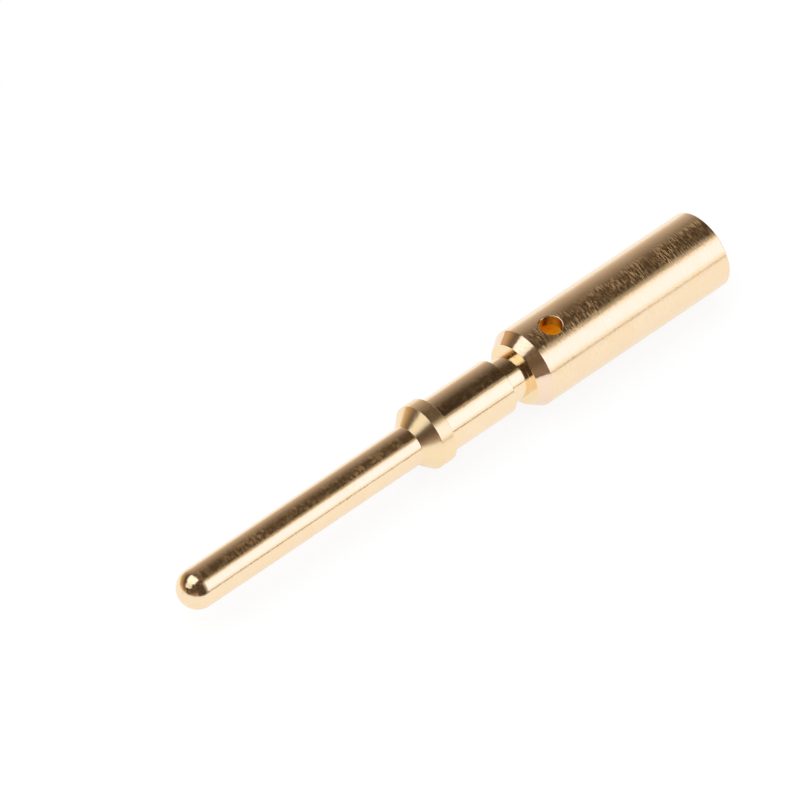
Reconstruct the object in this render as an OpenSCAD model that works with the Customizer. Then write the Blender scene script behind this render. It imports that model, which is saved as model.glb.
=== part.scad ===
// Crimp pin contact: one piece turned from brass rod, then gold plated all over.
// The wire goes into the crimp barrel, the pin plugs into a socket contact, and the collar holds the
// contact in its insert.
// The contact stands on the mouth of its barrel: +Z runs along the axis from the mouth to the pin's tip,
// and the inspection hole faces the front, -Y. The origin is on the axis, in the plane of the mouth.

/* [Crimp barrel] */
// Outside diameter of the barrel
barrel_d = 3.2; // [2.8:0.05:4]
// Length of the barrel from its mouth to its front chamfer
barrel_l = 9.2; // [8.9:0.1:14]
// Length of the barrel's front chamfer along the axis
chamfer_l = 0.5; // [0.2:0.05:1.2]
// Depth of the barrel's front chamfer towards the axis
chamfer_h = 0.34; // [0.1:0.01:0.5]

/* [Wire bore] */
// Diameter of the bore that takes the stripped wire
bore_d = 2.25; // [1.2:0.05:2.4]
// Depth of the full bore, measured from the mouth
bore_l = 8.5; // [8:0.1:8.8]
// Included angle of the drill point at the bottom of the bore
drill_angle = 118; // [100:1:150]
// Width of the flat lip round the mouth
lip_w = 0.1; // [0.04:0.01:0.15]
// Depth of the funnel that leads the wire into the bore
funnel_l = 0.95; // [0.3:0.05:2]

/* [Inspection hole] */
// Diameter of the hole that shows the wire's end
hole_d = 0.9; // [0.5:0.05:1.2]
// Place of the hole's centre, measured from the mouth
hole_from_mouth = 8; // [7.6:0.1:8.4]

/* [Neck and body] */
// Diameter of the neck between the barrel and the body
neck_d = 1.8; // [1.5:0.05:2]
// Length of the neck
neck_l = 0.95; // [0.5:0.05:2]
// Diameter of the body behind the collar
body_d = 2.25; // [2.1:0.05:2.4]
// Length of the body
body_l = 3.25; // [2:0.05:6]
// Radius that the cutting tool leaves in the inner corners
corner_r = 0.03; // [0.02:0.01:0.15]

/* [Collar] */
// Diameter of the collar
collar_d = 2.65; // [2.5:0.05:3.2]
// Length of the collar's straight land
collar_l = 0.6; // [0.3:0.05:1.5]
// Length of the cone from the collar down to the pin
cone_l = 0.6; // [0.3:0.05:1.5]

/* [Pin] */
// Diameter of the pin
pin_d = 1.6; // [1:0.05:2]
// Length of the pin from its root to the end of its round tip
pin_l = 11.4; // [6:0.1:16]

/* [Hidden] */
// Sides of the round forms
$fn = 96;
// Extra length of a cut past the face that it opens
cut = 1;

// Heights along the axis, from the mouth to the tip
neck_z = barrel_l + chamfer_l;
body_z = neck_z + neck_l;
collar_z = body_z + body_l;
cone_z = collar_z + collar_l;
pin_z = cone_z + cone_l;
tip_centre_z = pin_z + pin_l - pin_d / 2;

// Diameters that follow from the sizes above
shoulder_d = barrel_d - 2 * chamfer_h;
funnel_d = barrel_d - 2 * lip_w;

// Depth of the drill point past the full bore
drill_l = bore_d / 2 / tan(drill_angle / 2);

// One turned stretch from height z, l long, that tapers from diameter d to diameter end_d
module turned(z, l, d, end_d) {
  polygon([[0, z], [d / 2, z], [end_d / 2, z + l], [0, z + l]]);
}

// Rounded inner corner at height z, where a stretch of diameter d meets a face that rises to face_d.
// The face lies below the stretch where side is 1, and above it where side is -1.
module inner_corner(z, d, face_d, side) {
  r = max(0, min(corner_r, (face_d - d) / 2));
  translate([d / 2, z])
    mirror([0, side < 0 ? 1 : 0])
      difference() {
        translate([-r, 0])
          square([2 * r, r]);
        translate([r, r])
          circle(r);
      }
}

// Half section of the outside, with the radius along X and the axis along Y
module outside() {
  turned(0, barrel_l, barrel_d, barrel_d);
  turned(barrel_l, chamfer_l, barrel_d, shoulder_d);
  turned(neck_z, neck_l, neck_d, neck_d);
  turned(body_z, body_l, body_d, body_d);
  turned(collar_z, collar_l, collar_d, collar_d);
  turned(cone_z, cone_l, collar_d, pin_d);
  turned(pin_z, tip_centre_z - pin_z, pin_d, pin_d);
  translate([0, tip_centre_z])
    intersection() {
      circle(d = pin_d);
      square(pin_d);
    }
  inner_corner(neck_z, neck_d, shoulder_d, 1);
  inner_corner(body_z, neck_d, body_d, -1);
  inner_corner(collar_z, body_d, collar_d, -1);
}

// Half section of the funnel, the bore and its drill point
module wire_bore() {
  turned(-cut, cut, funnel_d, funnel_d);
  turned(0, funnel_l, funnel_d, bore_d);
  turned(funnel_l, bore_l - funnel_l, bore_d, bore_d);
  turned(bore_l, drill_l, bore_d, 0);
}

// Hole drilled from the front of the barrel into the bore
module inspection_hole() {
  translate([0, 0, hole_from_mouth])
    rotate([90, 0, 0])
      cylinder(d = hole_d, h = barrel_d / 2 + cut);
}

// The whole contact
module crimp_contact() {
  color([0.9, 0.74, 0.44])
    difference() {
      rotate_extrude()
        difference() {
          outside();
          wire_bore();
        }
      inspection_hole();
    }
}

crimp_contact();
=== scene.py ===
import bpy
import numpy as np
from mathutils import Matrix, Vector


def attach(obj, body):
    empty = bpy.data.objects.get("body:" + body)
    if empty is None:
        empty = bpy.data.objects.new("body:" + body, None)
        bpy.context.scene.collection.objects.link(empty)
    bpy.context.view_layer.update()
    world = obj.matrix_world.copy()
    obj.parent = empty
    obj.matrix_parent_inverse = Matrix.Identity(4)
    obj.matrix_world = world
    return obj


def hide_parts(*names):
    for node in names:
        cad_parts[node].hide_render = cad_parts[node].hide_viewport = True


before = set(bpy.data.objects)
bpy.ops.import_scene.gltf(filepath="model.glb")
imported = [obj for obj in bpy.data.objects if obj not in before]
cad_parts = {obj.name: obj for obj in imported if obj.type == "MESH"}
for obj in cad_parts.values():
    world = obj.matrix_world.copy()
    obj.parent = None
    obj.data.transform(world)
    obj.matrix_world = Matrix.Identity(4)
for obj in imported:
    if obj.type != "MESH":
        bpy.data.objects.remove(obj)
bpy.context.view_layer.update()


# The crimp contact: one piece turned from brass rod on a lathe, so its outside is one line carried round
# the axis. The blind wire bore is drilled up from the mouth, a cross hole in the barrel's front shows the
# wire's end, and gold plating covers the whole of it.
MM = 0.001
AROUND = 256

# Radii of its stretches in mm.
mouth_r = 1.5
bore_r = 1.125
barrel_r = 1.6
shoulder_r = 1.26
neck_r = 0.9
body_r = 1.125
collar_r = 1.325
pin_r = 0.8

# Heights above the mouth in mm: where the funnel, the full bore and the barrel's straight outside end, and
# where each later stretch begins. The drill's point and the tip's centre are given by radius and height.
funnel_z = 0.95
bore_z = 8.5
drill_tip = (0.0, 9.176)
barrel_z = 9.2
neck_z = 9.7
body_z = 10.65
collar_z = 13.9
cone_z = 14.5
pin_z = 15.1
tip_centre = (0.0, 25.7)

# Roundings in mm, which the tool's nose leaves in the inner corners and tumbling on the edges.
nose_round = 0.012
edge_round = 0.02
lip_round = 0.03
funnel_round = 0.04

# Corners of the half section, from the point of the drill down the bore, out over the mouth and up the
# outside to the pin: radius, height and rounding.
section_corners = np.array([
    (bore_r, bore_z, edge_round),
    (bore_r, funnel_z, funnel_round),
    (mouth_r, 0.0, edge_round),
    (barrel_r, 0.0, lip_round),
    (barrel_r, barrel_z, edge_round),
    (shoulder_r, neck_z, edge_round),
    (neck_r, neck_z, nose_round),
    (neck_r, body_z, nose_round),
    (body_r, body_z, edge_round),
    (body_r, collar_z, nose_round),
    (collar_r, collar_z, edge_round),
    (collar_r, cone_z, edge_round),
    (pin_r, pin_z, edge_round),
])

# The inspection hole in mm: its radius, its height, and the roundings of its rim outside and inside. On the
# barrel and in the bore a window of the lathe grid gives way to it: its columns and rows, and its heights in
# the order in which the section meets them.
hole_r = 0.45
hole_z = 8.0
hole_rim = 0.045
hole_burr = 0.018
hole_columns = 40
hole_rows = 24
barrel_window = (7.2, 8.8)
bore_window = (8.484, 7.35)


def tool_arcs(before, corners, after, steps):
    """Every corner of a line gives way to an arc that is tangent to both of its sides. The arc's centre lies
    on the bisector at radius / sin(half angle), and the arc's points swing from one tangent point to the
    other."""
    spots = np.vstack([before, corners[:, :2], after])
    radius = corners[:, 2:3]
    back = spots[:-2] - spots[1:-1]
    ahead = spots[2:] - spots[1:-1]
    back = back / np.linalg.norm(back, axis=1, keepdims=True)
    ahead = ahead / np.linalg.norm(ahead, axis=1, keepdims=True)
    half = np.arccos(np.clip((back * ahead).sum(1, keepdims=True), -1, 1)) / 2
    bisector = back + ahead
    bisector = bisector / np.linalg.norm(bisector, axis=1, keepdims=True)
    centre = spots[1:-1] + bisector * radius / np.sin(half)
    first = spots[1:-1] + back * radius / np.tan(half) - centre
    last = spots[1:-1] + ahead * radius / np.tan(half) - centre
    sweep = (np.pi - 2 * half)[:, :, None]
    share = np.linspace(0, 1, steps + 1)[None, :, None]
    swing = np.sin((1 - share) * sweep) * first[:, None] + np.sin(share * sweep) * last[:, None]
    return centre[:, None] + swing / np.sin(sweep)


def straight(start, end, rows, hair=0.012, most=0.2):
    """Rows along a straight stretch. The first and last lie a hair inside its ends, or at most this share of
    its length, which keeps the shading of the stretch flat right up to its rounded corners."""
    start, end = np.array(start), np.array(end)
    edge = min(hair / np.linalg.norm(end - start), most)
    share = np.linspace(edge, 1 - edge, rows)[:, None]
    return start + (end - start) * share


def through_window(start, end, window, least_room=0.1):
    """Rows along a straight wall with an even run of rows across the window that the cross hole opens in it.
    A few rows lead up to the window where there is room for them."""
    run = np.column_stack([np.full(hole_rows + 1, start[0]), np.linspace(*window, hole_rows + 1)])
    room = abs(window[0] - start[1]) > least_room
    lead = straight(start, run[0], 4)[:3] if room else np.empty((0, 2))
    return np.vstack([lead, run, straight(run[-1], end, 6)[1:]])


arcs = tool_arcs(drill_tip, section_corners, (pin_r, tip_centre[1]), steps=6)
tip_turn = np.linspace(0, np.pi / 2, 25)[:-1, None]
tip_arc = np.array(tip_centre) + pin_r * np.hstack([np.cos(tip_turn), np.sin(tip_turn)])
stretches = [straight(drill_tip, arcs[0][0], 5)]
stretches += [straight(here[-1], there[0], 3) for here, there in zip(arcs[:-1], arcs[1:])]
stretches += [straight(arcs[-1][-1], tip_arc[0], 4)]
bore_wall, barrel_wall = 1, 4
for wall, window in ((bore_wall, bore_window), (barrel_wall, barrel_window)):
    stretches[wall] = through_window(arcs[wall - 1][-1], arcs[wall][0], window)
blocks = [block for pair in zip(stretches, arcs) for block in pair] + [stretches[-1], tip_arc]
section = np.vstack(blocks)


def lathe(half_section, around):
    """The half section carried round Z: x = r sin t, y = -r cos t, z as it is, so that t = 0 faces the
    front."""
    turn = np.arange(around) * 2 * np.pi / around
    r, z = half_section[:, :1], half_section[:, 1:]
    return np.stack([r * np.sin(turn), -r * np.cos(turn), z + 0 * turn], axis=-1)


def first_row(wall, window):
    """Row of the section at which a wall's window begins: the rows before that wall, and those of the wall
    up to the window."""
    before = sum(len(block) for block in blocks[:2 * wall])
    return before + int(np.argmin(abs(stretches[wall][:, 1] - window[0])))


def frame_of_window(top_row, bottom_row):
    """Rows and columns of the grid round the hole's window: along its low edge, up its right side, back along
    its high edge and down its left side. Rows count from the low edge up, whichever way the section runs."""
    step = 1 if top_row > bottom_row else -1
    upward = np.arange(bottom_row, top_row + step, step)
    across = np.arange(-hole_columns // 2, hole_columns // 2 + 1)
    low = np.column_stack([np.full(hole_columns, upward[0]), across[:-1]])
    right = np.column_stack([upward[:-1], np.full(hole_rows, across[-1])])
    high = np.column_stack([np.full(hole_columns, upward[-1]), across[:0:-1]])
    left = np.column_stack([upward[:0:-1], np.full(hole_rows, across[0])])
    border = np.vstack([low, right, high, left])
    return border[:, 0], border[:, 1] % AROUND


def turn_of(spots):
    """Angle of each point round Z, counted from the front."""
    return np.arctan2(spots[:, 0], -spots[:, 1])


def on_tube(tube_r, from_axis, bearing):
    """Points of a tube round Z of radius tube_r that lie from_axis away from the cross hole's own axis, at
    each bearing round it: x and z follow the hole's circle, and y is where that line meets the tube."""
    x = from_axis * np.cos(bearing)
    z = hole_z + from_axis * np.sin(bearing)
    return np.stack(np.broadcast_arrays(x, -np.sqrt(tube_r ** 2 - x ** 2), z), axis=-1)


def spread_on_tube(tube_r, rim, border, shares):
    """Rings on a tube between the hole's rim and the window's border: angle and height go evenly from one to
    the other, and the radius stays the tube's."""
    share = np.array(shares)[:, None]
    turn = (1 - share) * turn_of(rim) + share * turn_of(border)
    z = (1 - share) * rim[:, 2] + share * border[:, 2]
    return np.stack([tube_r * np.sin(turn), -tube_r * np.cos(turn), z], axis=-1)


lathe_grid = lathe(section, AROUND)
barrel_row = first_row(barrel_wall, barrel_window)
bore_row = first_row(bore_wall, bore_window)
barrel_frame = frame_of_window(barrel_row + hole_rows, barrel_row)
bore_frame = frame_of_window(bore_row, bore_row + hole_rows)
barrel_border = lathe_grid[barrel_frame]
bore_border = lathe_grid[bore_frame]

# Rings of the hole from the barrel's window inwards: the barrel round the hole, the rounded rim, the drilled
# wall, the slight burr where it breaks into the bore, and the bore round it.
bearing = np.arctan2(barrel_border[:, 2] - hole_z, barrel_r * turn_of(barrel_border))
outer_rim = on_tube(barrel_r, hole_r + hole_rim, bearing)
inner_rim = on_tube(bore_r, hole_r + hole_burr, bearing)
rim_turn = np.linspace(0, np.pi / 2, 7)[1:, None]
rim_down, rim_wide = hole_rim * (1 - np.cos(rim_turn)), hole_rim * (1 - np.sin(rim_turn))
burr_turn = np.linspace(0, np.pi / 2, 4)[:-1, None]
burr_up, burr_wide = hole_burr * (1 - np.sin(burr_turn)), hole_burr * (1 - np.cos(burr_turn))
depth = np.array([0.06, 0.35, 0.65, 0.94])[:, None]
wall_r = (barrel_r - hole_rim) * (1 - depth) + (bore_r + hole_burr) * depth
hole_rings = np.concatenate([
    spread_on_tube(barrel_r, outer_rim, barrel_border, (0.75, 0.5, 0.25, 0.04)),
    outer_rim[None],
    on_tube(barrel_r - rim_down, hole_r + rim_wide, bearing),
    on_tube(wall_r, hole_r, bearing),
    on_tube(bore_r + burr_up, hole_r + burr_wide, bearing),
    inner_rim[None],
    spread_on_tube(bore_r, inner_rim, bore_border, (0.06, 0.35, 0.7)),
])


def ring_faces(index):
    """Four-sided faces between each ring of point numbers and the next, all the way round."""
    beside = np.roll(index, -1, axis=1)
    return np.stack([index[:-1], beside[:-1], beside[1:], index[1:]], axis=-1)


# Faces: the lathe grid without the two windows, the sleeve of rings that joins the windows through the
# barrel's wall, a fan on the drill's point and one on the tip.
rows = len(section)
lathe_index = 1 + np.arange(rows)[:, None] * AROUND + np.arange(AROUND)
solid = np.ones((rows - 1, AROUND), bool)
window_columns = np.arange(-hole_columns // 2, hole_columns // 2) % AROUND
for row in (barrel_row, bore_row):
    solid[np.ix_(np.arange(row, row + hole_rows), window_columns)] = False
drill_pole = 0
tip_pole = 1 + rows * AROUND
drill_fan = np.stack([np.full(AROUND, drill_pole), np.roll(lathe_index[0], -1), lathe_index[0]], axis=-1)
tip_fan = np.stack([lathe_index[-1], np.roll(lathe_index[-1], -1), np.full(AROUND, tip_pole)], axis=-1)
ring_index = tip_pole + 1 + np.arange(hole_rings[..., 0].size).reshape(hole_rings.shape[:2])
sleeve_index = np.vstack([lathe_index[barrel_frame], ring_index, lathe_index[bore_frame]])
contact_faces = ring_faces(lathe_index)[solid].tolist() + ring_faces(sleeve_index).reshape(-1, 4).tolist()
contact_faces += drill_fan.tolist() + tip_fan.tolist()
contact_spots = np.vstack([
    [(0.0, 0.0, drill_tip[1])],
    lathe_grid.reshape(-1, 3),
    [(0.0, 0.0, tip_centre[1] + pin_r)],
    hole_rings.reshape(-1, 3),
]) * MM


def mesh_object(name, spots, faces):
    """An object at the origin with a mesh of these points, in metres, and these faces."""
    mesh = bpy.data.meshes.new(name)
    mesh.from_pydata(spots.tolist(), [], faces)
    mesh.update()
    made = bpy.data.objects.new(name, mesh)
    bpy.context.collection.objects.link(made)
    return made


contact = mesh_object("turned_contact", contact_spots, contact_faces)
contact.data.shade_smooth()


class Signal:
    """One output of a shader node. Arithmetic on it adds Math nodes, and node() adds any other node."""

    def __init__(self, tree, socket=None):
        self.tree = tree
        self.socket = socket

    def node(self, kind, settings=None, inputs=None, output=0):
        """A node of this kind: its settings first, then the values or links of its sockets."""
        made = self.tree.nodes.new(kind)
        for name, value in (settings or {}).items():
            setattr(made, name, value)
        for name, value in (inputs or {}).items():
            if isinstance(value, Signal):
                self.tree.links.new(value.socket, made.inputs[name])
            else:
                made.inputs[name].default_value = value
        return Signal(self.tree, made.outputs[output] if len(made.outputs) else None)

    def beside(self, output):
        """Another output of the same node."""
        return Signal(self.tree, self.socket.node.outputs[output])

    def maths(self, operation, *terms):
        """A Math node's operation on these terms."""
        return self.node("ShaderNodeMath", {"operation": operation}, dict(enumerate(terms)))

    def __add__(self, other):
        return self.maths("ADD", self, other)

    def __radd__(self, other):
        return self.maths("ADD", other, self)

    def __sub__(self, other):
        return self.maths("SUBTRACT", self, other)

    def __rsub__(self, other):
        return self.maths("SUBTRACT", other, self)

    def __mul__(self, other):
        return self.maths("MULTIPLY", self, other)

    def __rmul__(self, other):
        return self.maths("MULTIPLY", other, self)

    def ramp(self, low, high):
        """0 below low, 1 above high, and a smooth rise between them."""
        return self.node("ShaderNodeMapRange", {"interpolation_type": "SMOOTHSTEP"},
                         {"Value": self, "From Min": low, "From Max": high})

    def vector(self, operation, *others, output="Vector"):
        """A Vector Math node's operation on this vector and the others."""
        terms = dict(enumerate((self, *others)))
        return self.node("ShaderNodeVectorMath", {"operation": operation}, terms, output)

    def noise(self, scale, detail=2.0, roughness=0.5):
        """Noise at this place times the scale, which is in grains per metre along each axis."""
        return self.node("ShaderNodeTexNoise", inputs={
            "Vector": self.vector("MULTIPLY", scale), "Scale": 1.0, "Detail": detail, "Roughness": roughness})

    def blend(self, first, second):
        """A colour that goes from the first to the second as this signal goes from 0 to 1."""
        return self.node("ShaderNodeMix", {"data_type": "RGBA"}, {0: self, 6: first, 7: second}, output=2)


def empty_tree(owner):
    """The start of a material's or a world's node tree, with no node in it yet."""
    owner.use_nodes = True
    owner.node_tree.nodes.clear()
    return Signal(owner.node_tree)


def gold_plating():
    """Polished gold over turned brass. The tool left short dull streaks round the axis, in patches, which are
    strongest on the barrel's rubbed front and fainter on the chamfer, the collar, the pin and the body. The
    plating has a fine relief like orange peel. The bore has the drill's finish. The bore's gold is painted a
    deeper yellow and the cross hole's wall orange: a painted reflection of light that bounces many times
    inside them."""
    deep_gold = (0.955, 0.745, 0.50, 1)
    light_gold = (0.965, 0.775, 0.54, 1)
    faced_gold = (0.965, 0.768, 0.49, 1)
    chamfer_gold = (0.965, 0.775, 0.61, 1)
    # Painted reflection: the bore's deeper yellow and the hole wall's orange stand in for light reflected
    # many times inside the gold.
    bore_painted_bounce_gold = (0.965, 0.80, 0.42, 1)
    hole_painted_bounce_orange = (0.95, 0.60, 0.19, 1)
    streak_brown = (0.68, 0.36, 0.11, 1)
    rubbed_side = (-0.148, -0.989, 0)
    relief_height = 0.002 * MM

    material = bpy.data.materials.new("gold_plating")
    tools = empty_tree(material)
    place = tools.node("ShaderNodeTexCoord", output="Object")
    outwards = place.vector("MULTIPLY", (1, 1, 0))

    # Height and distance from the axis in mm, and the stretches that they tell apart.
    height = tools.node("ShaderNodeSeparateXYZ", inputs={0: place}, output="Z") * (1 / MM)
    from_axis = outwards.vector("LENGTH", output="Value") * (1 / MM)
    bore = (1 - from_axis.ramp(mouth_r, barrel_r - 0.02)) * (1 - height.ramp(barrel_z - 0.02, barrel_z))
    drilled = bore * from_axis.ramp(bore_r + 0.005, bore_r + 0.035)
    hole_wall = drilled * height.ramp(4.0, 5.0)
    past_barrel = height.ramp(barrel_z - 0.02, barrel_z + 0.02)
    barrel = (1 - past_barrel) * (1 - bore)
    chamfer = past_barrel * (1 - height.ramp(neck_z - 0.04, neck_z - 0.01))
    shoulder = height.ramp(neck_z - 0.02, neck_z - 0.005) * (1 - height.ramp(neck_z + 0.005, neck_z + 0.02))
    pin = height.ramp(pin_z - 0.05, pin_z + 0.05)
    collar = height.ramp(collar_z - 0.02, collar_z + 0.02) * (1 - pin)

    # The tool's marks, which are longer on the barrel, the patches of wear, and the plating's own relief.
    chatter = place.noise((3200, 3200, 20000))
    grain = place.noise((7000, 7000, 16000), roughness=0.6)
    marks = grain + (chatter - grain) * barrel
    drift = place.noise((900, 900, 900))
    peel = place.noise((8000, 8000, 8000), detail=1.0)
    facing = outwards.vector("NORMALIZE").vector("DOT_PRODUCT", rubbed_side, output="Value")
    rubbed = facing.ramp(0.92, 0.975)
    patches = 0.5 + drift.ramp(0.38, 0.62)
    streaks = marks.ramp(0.47, 0.6) * (0.15 + 0.85 * rubbed) * patches
    relief = (marks + 2.0 * drift) * (0.15 + 0.85 * barrel) + peel
    bump = tools.node("ShaderNodeBump", inputs={"Strength": 1.0, "Distance": relief_height, "Height": relief})

    # The polished gold, and the dull brown of the streaks that is mixed into it.
    turned = drift.ramp(0.3, 0.7).blend(deep_gold, light_gold)
    outside = chamfer.blend((collar + shoulder).blend(turned, faced_gold), chamfer_gold)
    # The bore and the cross hole's wall take their painted reflection colours.
    colour = hole_wall.blend(bore.blend(outside, bore_painted_bounce_gold), hole_painted_bounce_orange)
    turned_finish = 0.14 + (0.03 + 0.1 * streaks) * (barrel + 0.4 * pin) + 0.1 * collar + 0.03 * (drift - 0.5)
    finish = turned_finish - 0.02 * bore + 0.24 * drilled
    metal = tools.node("ShaderNodeBsdfPrincipled", inputs={
        "Base Color": colour, "Metallic": 1.0, "Roughness": finish, "Normal": bump})
    matt = tools.node("ShaderNodeBsdfPrincipled", inputs={
        "Base Color": streak_brown, "Metallic": 0.0, "Roughness": 0.7})
    haze = 0.03 * barrel + 0.12 * chamfer + 0.06 * collar + 0.04 * pin
    dull = haze + streaks * (0.06 * (1 - bore) + 0.16 * barrel + 0.03 * chamfer + 0.07 * pin)
    skin = tools.node("ShaderNodeMixShader", inputs={0: dull, 1: metal, 2: matt})
    tools.node("ShaderNodeOutputMaterial", inputs={"Surface": skin})
    return material


contact.data.materials.append(gold_plating())
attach(contact, "root")
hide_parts("crimp_contact")


# The floor: a sheet of white paper that the contact's barrel lies on in the picture, so here it stands
# upright behind the contact. Its front is white and takes the contact's faint shadow, and its back isn't
# seen. On the far side of the picture it ends where the tent's cloth comes down.
floor_lean = np.array([0.1, -0.995, 0.0])
floor_up = floor_lean / np.linalg.norm(floor_lean)
floor_side = np.array([floor_up[1], -floor_up[0], 0.0])
floor_along = np.array([0.0, 0.0, 1.0])
floor_width = (-0.026, 0.45)
floor_length = (-0.45, 0.45)
floor_gap = 0.02 * MM


def sheet(centre, side, along, width, length):
    """A flat sheet: centre + u side + v along, with u across its width and v along its length."""
    u, v = np.meshgrid(width, length)
    return centre + u[..., None] * side + v[..., None] * along


floor_centre = -(barrel_r * MM + floor_gap) * floor_up
floor_spots = sheet(floor_centre, floor_side, floor_along, floor_width, floor_length)
floor = mesh_object("floor", floor_spots.reshape(-1, 3), [(0, 2, 3, 1)])


def seen_directly(tools, in_mirrors):
    """1 for rays from the camera, in_mirrors for what metal or glass shows, 0 for the rest."""
    camera_ray = tools.node("ShaderNodeLightPath", output="Is Camera Ray")
    glossy_ray = camera_ray.beside("Is Glossy Ray")
    mirrored = tools.maths("MAXIMUM", glossy_ray, camera_ray.beside("Is Transmission Ray"))
    return tools.maths("MAXIMUM", camera_ray, in_mirrors * mirrored)


def white_paper():
    """Matt white paper. Most of its white is set for the camera and for mirrors, and the rest is lit, so that
    a faint shadow stays. The strip under the barrel and the one under the body and the pin lie in the
    contact's own shadow, and mirrors show them as they are lit. The back lets the view through."""
    paper_white = (0.9, 0.9, 0.9, 1)
    set_white = 0.85
    material = bpy.data.materials.new("white_paper")
    tools = empty_tree(material)
    place = tools.node("ShaderNodeTexCoord", output="Object")
    across = place.vector("DOT_PRODUCT", floor_side, output="Value") * (1 / MM)
    along = place.vector("DOT_PRODUCT", floor_along, output="Value") * (1 / MM)
    strip = across.ramp(-2.0, -1.4) * (1 - across.ramp(-0.1, 0.5))
    under_barrel = along.ramp(-2.0, -1.0) * (1 - along.ramp(8.7, 9.2))
    under_pin = along.ramp(11.5, 12.0) * (1 - along.ramp(23.5, 24.5))
    in_mirrors = 1 - strip * (under_barrel + under_pin)
    white_share = set_white * seen_directly(tools, in_mirrors)
    lit = tools.node("ShaderNodeBsdfDiffuse", inputs={"Color": paper_white})
    white = tools.node("ShaderNodeEmission", inputs={"Color": (1, 1, 1, 1), "Strength": 1.0})
    front = tools.node("ShaderNodeMixShader", inputs={0: white_share, 1: lit, 2: white})
    clear = tools.node("ShaderNodeBsdfTransparent")
    back = tools.node("ShaderNodeNewGeometry", output="Backfacing")
    both = tools.node("ShaderNodeMixShader", inputs={0: back, 1: front, 2: clear})
    tools.node("ShaderNodeOutputMaterial", inputs={"Surface": both})
    return material


floor.data.materials.append(white_paper())


# The tent: a dark cloth dome over the floor, which polished metal shows as its dark bands. It lets the camera
# see out. Its azimuths are counted from the camera's own, towards the far side of the picture.
camera_azimuth = -29.98
tent_r = 0.5
tent_z = 13.0 * MM
tent_azimuths = (-54.0, 138.0)
tent_elevations = (-89.5, 89.5)
tent_points = 49


def dome(radius, height, azimuth, elevation):
    """Part of a sphere round the contact: each grid point lies at radius, in the direction of its azimuth
    from the front and its elevation."""
    a, e = np.meshgrid(np.radians(azimuth), np.radians(elevation))
    direction = np.stack([np.cos(e) * np.sin(a), -np.cos(e) * np.cos(a), np.sin(e)], axis=-1)
    return direction * radius + [0, 0, height]


tent_spots = dome(tent_r, tent_z, np.linspace(*tent_azimuths, tent_points) + camera_azimuth,
                  np.linspace(*tent_elevations, tent_points))
tent_index = np.arange(tent_points ** 2).reshape(tent_points, tent_points)
tent_faces = np.stack([
    tent_index[:-1, :-1], tent_index[1:, :-1], tent_index[1:, 1:], tent_index[:-1, 1:]], axis=-1)
tent = mesh_object("tent", tent_spots.reshape(-1, 3), tent_faces.reshape(-1, 4).tolist())
tent.visible_camera = False
tent.visible_diffuse = False


def glowing_dark_cloth():
    """Dark brown cloth that gives off its own dim light, with painted glows: low down, where the paper's
    light is painted in, it grows pale towards the far side and whiter at its far edge; higher up it is a
    painted golden there, and on the near side its top is rosy."""
    cloth_glow_brown = (0.048, 0.032, 0.019, 1)
    pale_glow = (0.80, 0.67, 0.57, 1)
    edge_glow = (0.95, 0.94, 0.93, 1)
    golden_glow = (0.66, 0.43, 0.22, 1)
    rosy_glow = (0.80, 0.53, 0.44, 1)
    material = bpy.data.materials.new("glowing_dark_cloth")
    tools = empty_tree(material)
    place = tools.node("ShaderNodeTexCoord", output="Object")
    x = tools.node("ShaderNodeSeparateXYZ", inputs={0: place}, output="X")
    y, z = x.beside("Y"), x.beside("Z")
    azimuth = tools.maths("ARCTAN2", x, -1 * y) * (180 / np.pi) - camera_azimuth
    upper = z.ramp(-0.15, 0.1)
    low_far = azimuth.ramp(50.0, 158.0) * (1 - upper)
    low_edge = 0.55 * azimuth.ramp(112.0, 140.0) * (1 - upper)
    high_far = azimuth.ramp(92.0, 128.0) * upper
    near_top = 0.45 * (1 - azimuth.ramp(-56.0, -4.0)) * z.ramp(0.27, 0.34)
    low_glow = low_edge.blend(low_far.blend(cloth_glow_brown, pale_glow), edge_glow)
    colour = near_top.blend(high_far.blend(low_glow, golden_glow), rosy_glow)
    # Painted glow: the cloth gives off these colours as light of its own.
    cloth = tools.node("ShaderNodeEmission", inputs={"Color": colour, "Strength": 1.0})
    tools.node("ShaderNodeOutputMaterial", inputs={"Surface": cloth})
    return material


tent.data.materials.append(glowing_dark_cloth())


# The lamps: two large soft boxes inside the tent, each made of a few panes so that its light falls off
# towards its edges. One stands low on the mouth's side, with a dim pane on top, and gives the broad bright
# band along the contact. The other hangs on the pin's side and lights the cone, the chamfer and the tip.
lamp_distance = 0.42


def soft_box(name, azimuths, elevations, radiance, colour):
    """A rectangular lamp that faces the contact and fills these azimuths from the camera and these
    elevations. A lamp of power P and area A shines with P / (pi A)."""
    lamp = bpy.data.lights.new(name, "AREA")
    lamp.shape = "RECTANGLE"
    a, e = np.radians(np.mean(azimuths) + camera_azimuth), np.radians(np.mean(elevations))
    lamp.size = 2 * lamp_distance * np.tan(np.radians(azimuths[1] - azimuths[0]) / 2) * np.cos(e)
    lamp.size_y = 2 * lamp_distance * np.tan(np.radians(elevations[1] - elevations[0]) / 2)
    lamp.energy = radiance * np.pi * lamp.size * lamp.size_y
    lamp.color = colour
    towards = Vector((np.cos(e) * np.sin(a), -np.cos(e) * np.cos(a), np.sin(e)))
    side = Vector((np.cos(a), np.sin(a), 0.0))
    box = bpy.data.objects.new(name, lamp)
    box.matrix_world = Matrix.Translation(towards * lamp_distance + Vector((0, 0, tent_z))) @ Matrix(
        (side, towards.cross(side), towards)).transposed().to_4x4()
    box.visible_camera = False
    bpy.context.collection.objects.link(box)


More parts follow.
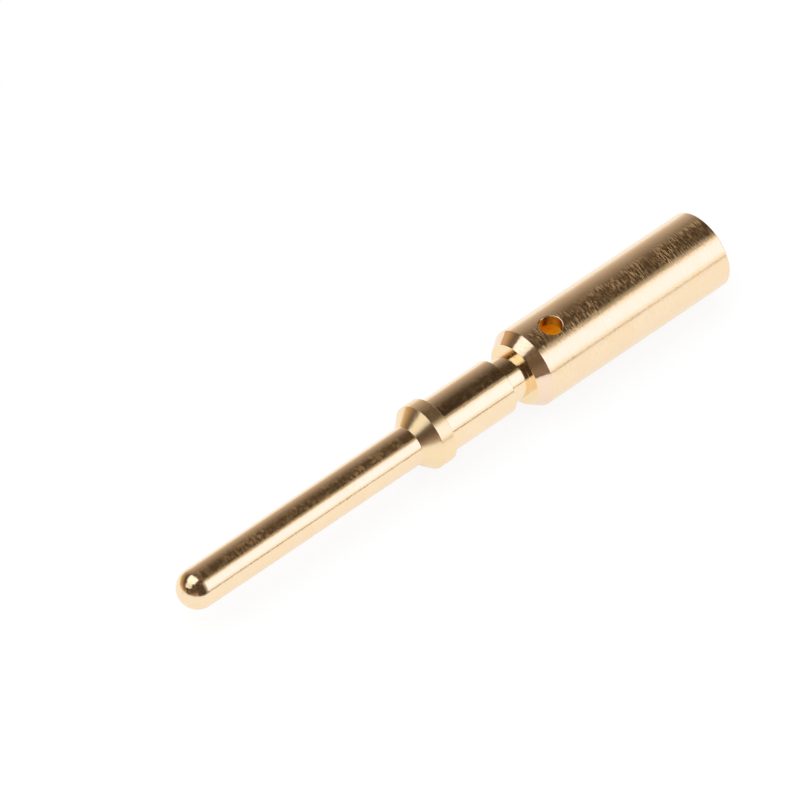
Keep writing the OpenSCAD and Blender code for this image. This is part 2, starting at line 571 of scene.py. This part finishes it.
soft_box("near_lamp_edge", (-51.7, 16.7), (-50, -18), 0.35, (1.0, 0.9, 0.72))
soft_box("near_lamp", (-51.1, 7.1), (-50, -18), 0.72, (1.0, 1.0, 1.0))
soft_box("near_lamp_core", (-41.2, -0.8), (-50, -18), 0.55, (0.3, 0.36, 1.0))
soft_box("near_lamp_top", (-50, 7), (-18.5, -5), 0.32, (1.0, 0.96, 0.9))
soft_box("pin_lamp", (34, 80), (32, 60), 1.0, (1.0, 1.0, 0.94))
soft_box("pin_lamp_foot", (29, 80), (-2, 32.5), 1.36, (0.98, 0.98, 1.0))


# The room: plain white all round, which shows past the edges of the floor and lights the paper evenly. Light
# leaves the bore through its mouth only after some eight reflections, so that many have to be followed.
world = bpy.data.worlds.new("white_room")
bpy.context.scene.world = world
room = empty_tree(world)
white_room = room.node("ShaderNodeBackground", inputs={"Color": (1, 1, 1, 1), "Strength": 1.0})
room.node("ShaderNodeOutputWorld", inputs={"Surface": white_room})
bpy.context.scene.cycles.glossy_bounces = 12


# The camera: a long lens that looks down along the contact from the pin's side, turned so that the pin points
# to the lower left of the picture.
camera_elevation = 28.71
camera_roll = -123.80
camera_distance = 371.11 * MM
camera_aim = Vector((1.6052, -0.3961, 14.0879)) * MM
camera_data = bpy.data.cameras.new("camera")
camera_data.sensor_width = 36.0
camera_data.lens = 450.0
camera_data.clip_start = 0.01
camera_data.clip_end = 5.0
camera = bpy.data.objects.new("camera", camera_data)
bpy.context.collection.objects.link(camera)
turn, lift, roll = (np.radians(angle) for angle in (camera_azimuth, camera_elevation, camera_roll))
away = Vector((np.cos(lift) * np.sin(turn), -np.cos(lift) * np.cos(turn), np.sin(lift)))
level = Vector((np.cos(turn), np.sin(turn), 0.0))
upright = away.cross(level)
right = level * np.cos(roll) + upright * np.sin(roll)
camera.matrix_world = Matrix.Translation(camera_aim + away * camera_distance) @ Matrix(
    (right, away.cross(right), away)).transposed().to_4x4()
bpy.context.scene.camera = camera
bpy.context.scene.view_settings.view_transform = "Standard"
